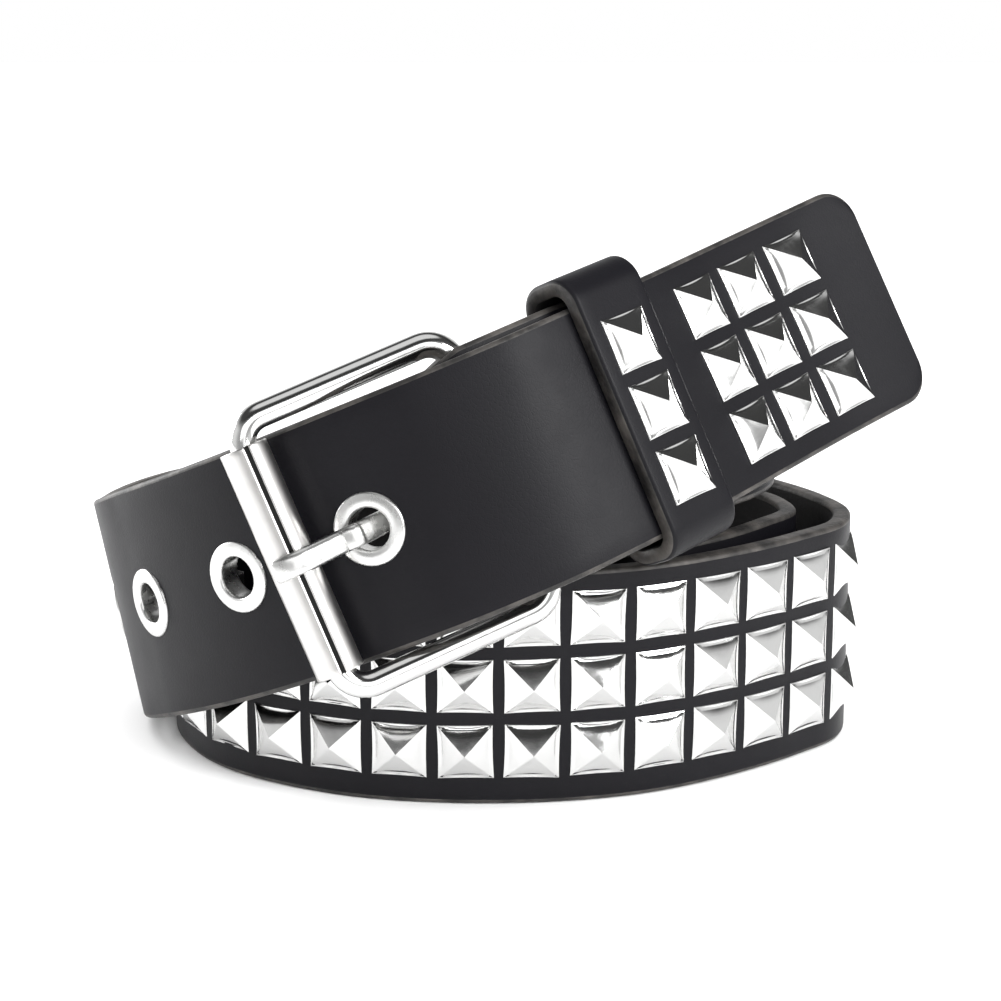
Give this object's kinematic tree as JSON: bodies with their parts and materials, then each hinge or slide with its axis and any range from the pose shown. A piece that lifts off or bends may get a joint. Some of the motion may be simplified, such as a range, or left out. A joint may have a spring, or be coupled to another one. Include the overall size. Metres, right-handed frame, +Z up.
{
  "type": "studded belt",
  "caption": "Coiled leather belt with pyramid studs, metal eyelets, a studded keeper and a roller buckle with one prong.",
  "frame": {"origin": "on the floor, under the middle of the belt's box", "axes": "+Z up, +X towards the free tip, -Y towards the buckle and the front of the coil"},
  "size_m": [0.1398, 0.1028, 0.0902],
  "materials": {
    "leather": "satin",
    "nickel": "polished",
    "satin_nickel": "satin"
  },
  "bodies": {
    "root": {"strap": "leather", "keeper": "leather", "buckle_frame": "nickel", "roller": "satin_nickel", "prong": "nickel", "eyelet_1": "satin_nickel", "eyelet_2": "satin_nickel", "eyelet_3": "satin_nickel", "eyelet_4": "satin_nickel", "eyelet_5": "satin_nickel", "eyelet_6": "satin_nickel", "keeper_stud_1": "nickel", "keeper_stud_2": "nickel", "keeper_stud_3": "nickel", "tip_stud_1_1": "nickel", "tip_stud_1_2": "nickel", "tip_stud_1_3": "nickel", "tip_stud_2_1": "nickel", "tip_stud_2_2": "nickel", "tip_stud_2_3": "nickel", "tip_stud_3_1": "nickel", "tip_stud_3_2": "nickel", "tip_stud_3_3": "nickel"}
  },
  "joints": []
}
